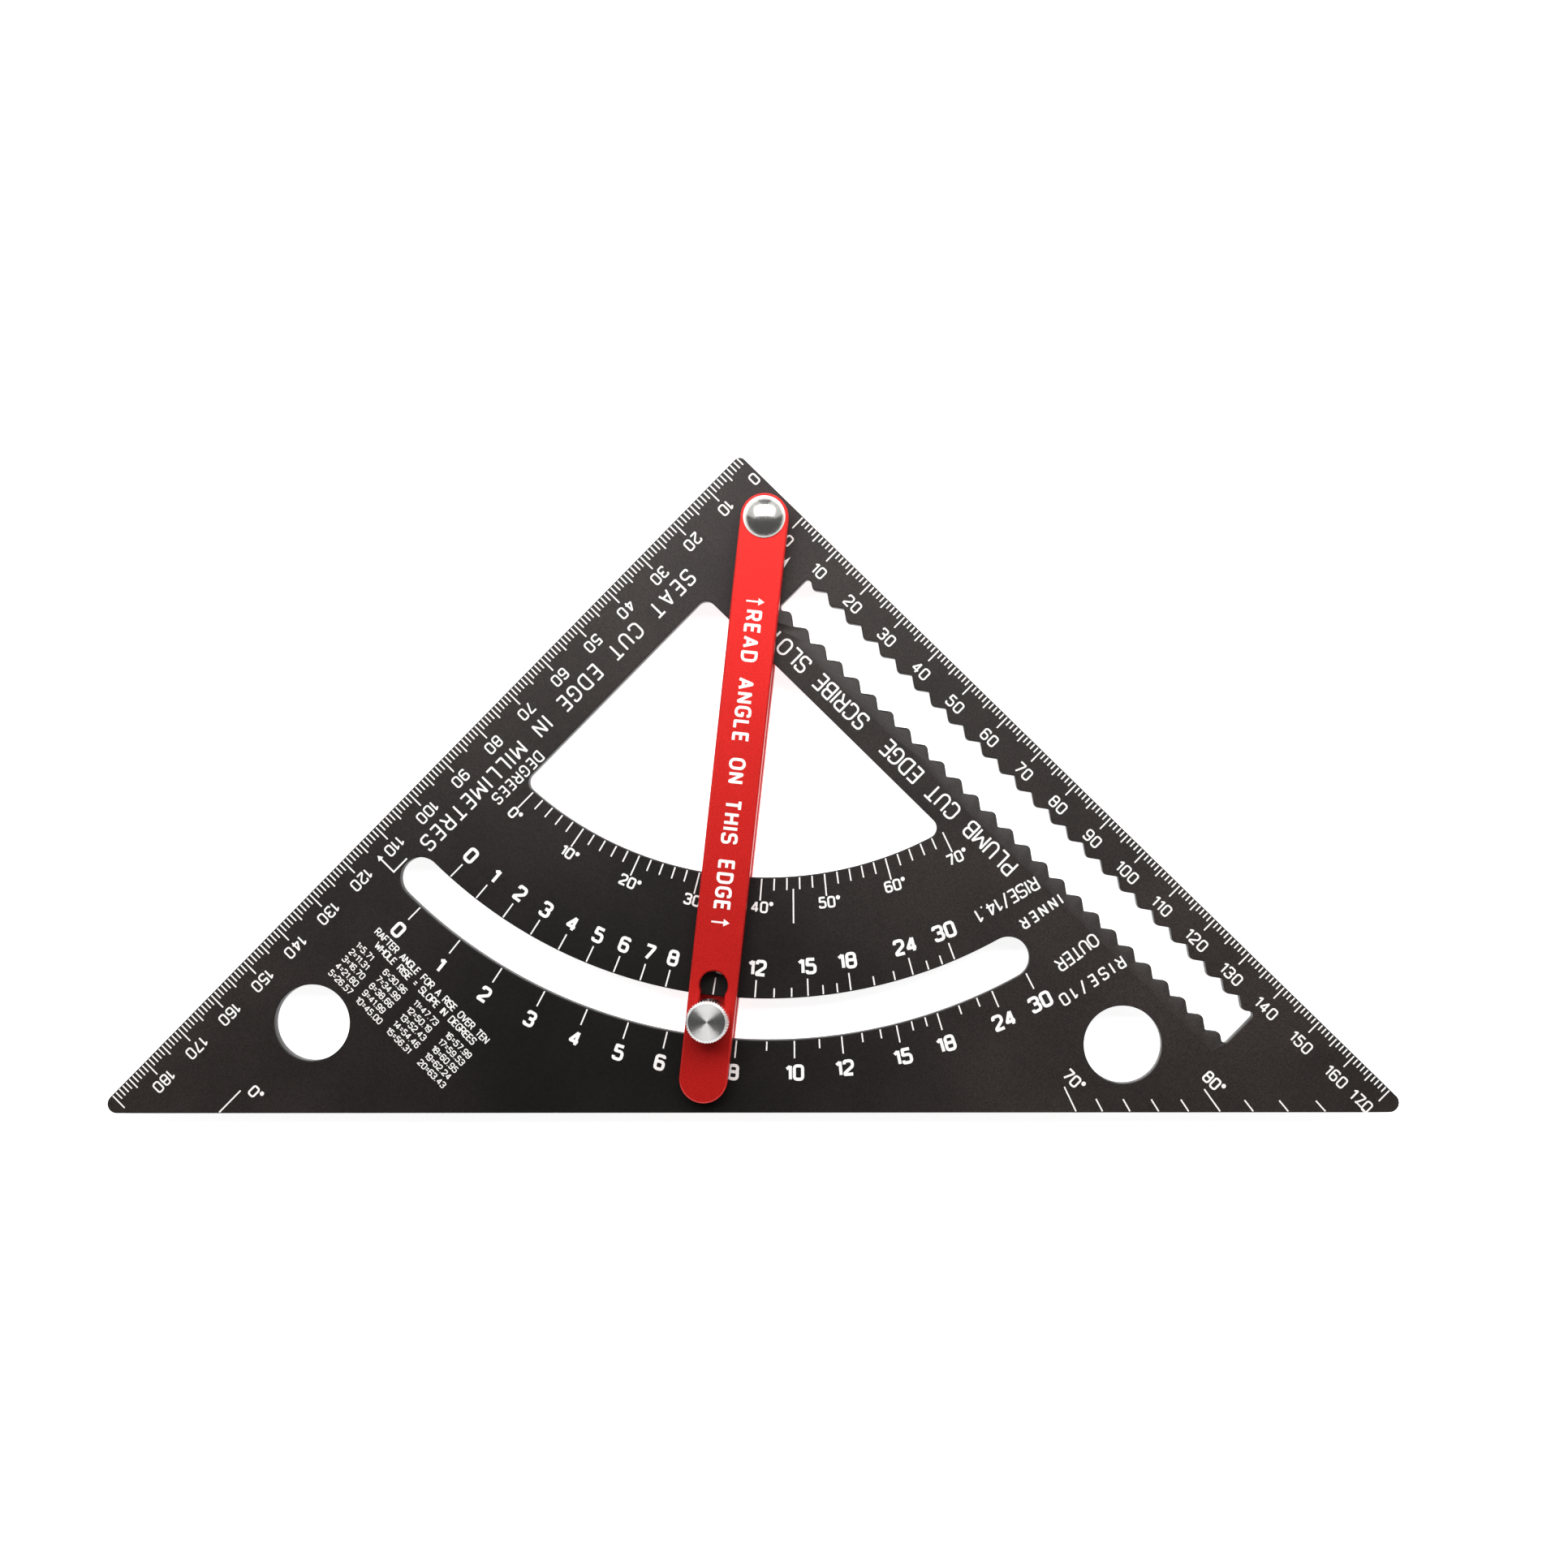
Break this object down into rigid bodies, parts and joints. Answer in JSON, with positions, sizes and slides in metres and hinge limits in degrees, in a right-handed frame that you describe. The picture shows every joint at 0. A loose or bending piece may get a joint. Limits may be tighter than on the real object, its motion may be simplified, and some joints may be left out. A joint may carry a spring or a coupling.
{
  "type": "speed square",
  "caption": "Black triangular speed square with a red swinging angle arm, an arc slot, a toothed scribing slot and a knurled clamp knob.",
  "frame": {"origin": "on the arm's swing axis, at the flat tail of the pivot rivet, which is the lowest face when the square lies on its back", "axes": "+Z out of the front face, +X along the seat edge and +Y along the plumb edge, both away from the pivot corner"},
  "size_m": [0.1927, 0.1927, 0.0213],
  "materials": {
    "black_anodised": "satin black anodised over a fine blasted grain, with off-white filled marks",
    "red_anodised": "bright red anodised with a fine sparkle and lighter chamfers",
    "white_marks": "matte off-white filled marks",
    "polished_chrome": "polished bright dome",
    "turned_metal": "turned bright metal with a fine knurl and a spun face",
    "zinc_steel": "bright zinc plate",
    "nylon": "natural nylon"
  },
  "bodies": {
    "square": {"triangle_plate": "black_anodised", "pivot_rivet": "polished_chrome", "rivet_burr_washer": "zinc_steel"},
    "arm": {"back_arm_bar": "red_anodised", "front_arm_bar": "red_anodised", "back_pivot_shim": "nylon", "front_pivot_shim": "nylon", "clamp_screw": "zinc_steel", "slot_guide_collar": "zinc_steel"},
    "knob_carrier": {"clamp_washer": "zinc_steel"},
    "knob": {"clamp_knob": "turned_metal"}
  },
  "joints": [
    {"name": "arm_swing", "type": "hinge", "parent": "square", "child": "arm", "pos_m": [0, 0, 0], "axis": [0, 0, 1], "range_deg": [-38.4, 35.6]},
    {"name": "knob_lift", "type": "slide", "parent": "arm", "child": "knob_carrier", "axis": [0, 0, 1], "range_m": [0, 0.0016]},
    {"name": "knob_turn", "type": "hinge", "parent": "knob_carrier", "child": "knob", "pos_m": [0.08229, 0.06522, 0.0139], "axis": [0, 0, 1], "range_deg": [0, 720]}
  ],
  "couplings": [
    {"joint": "knob_turn", "follows": "knob_lift", "rad_per_m": 7854}
  ]
}
